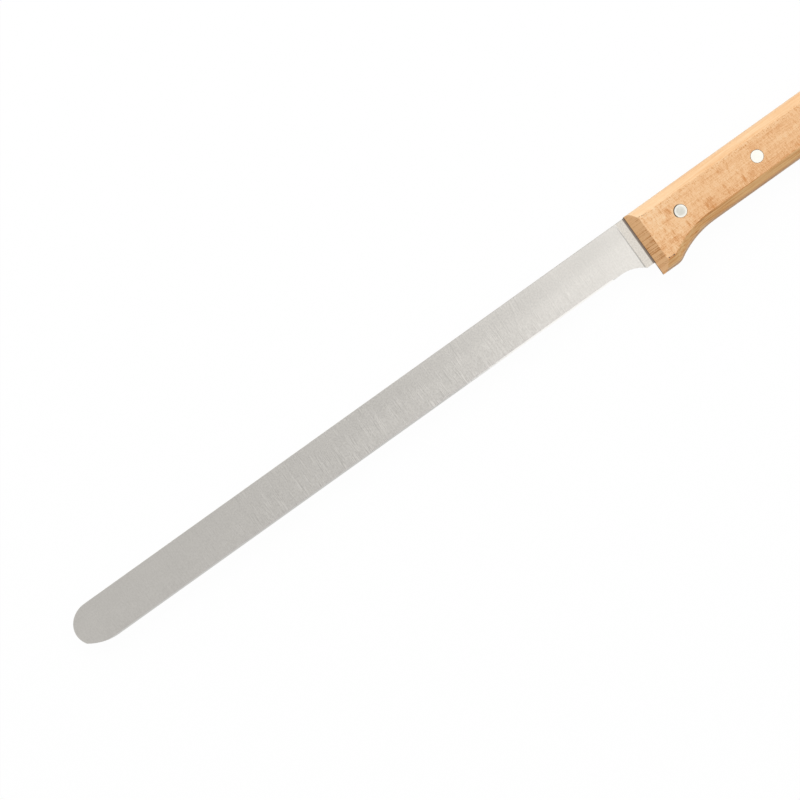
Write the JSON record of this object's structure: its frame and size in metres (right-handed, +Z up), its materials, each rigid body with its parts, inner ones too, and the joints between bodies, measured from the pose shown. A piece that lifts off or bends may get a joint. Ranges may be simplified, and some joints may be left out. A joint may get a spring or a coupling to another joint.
{
  "type": "carving knife",
  "caption": "Long carving knife with a narrow parallel round-tipped blade, a full tang and beech scales fixed by flush rivets, with a finger guard at the front of the handle.",
  "frame": {"origin": "centre of the knife's footprint as it lies on its right side, on the surface it lies on", "axes": "+X from the tip towards the butt, +Y from the cutting edge towards the spine, +Z up, out of the left side"},
  "size_m": [0.425, 0.0306, 0.0165],
  "materials": {
    "ground_steel": "flat ground, fine lines across the blade",
    "beech": "clear varnish, satin",
    "rivet_aluminium": "sanded flush"
  },
  "bodies": {
    "root": {"blade": "ground_steel", "left_scale": "beech", "right_scale": "beech", "front_rivet_sleeve": "rivet_aluminium", "front_rivet_post": "rivet_aluminium", "middle_rivet_sleeve": "rivet_aluminium", "middle_rivet_post": "rivet_aluminium", "rear_rivet_sleeve": "rivet_aluminium", "rear_rivet_post": "rivet_aluminium"}
  },
  "joints": []
}
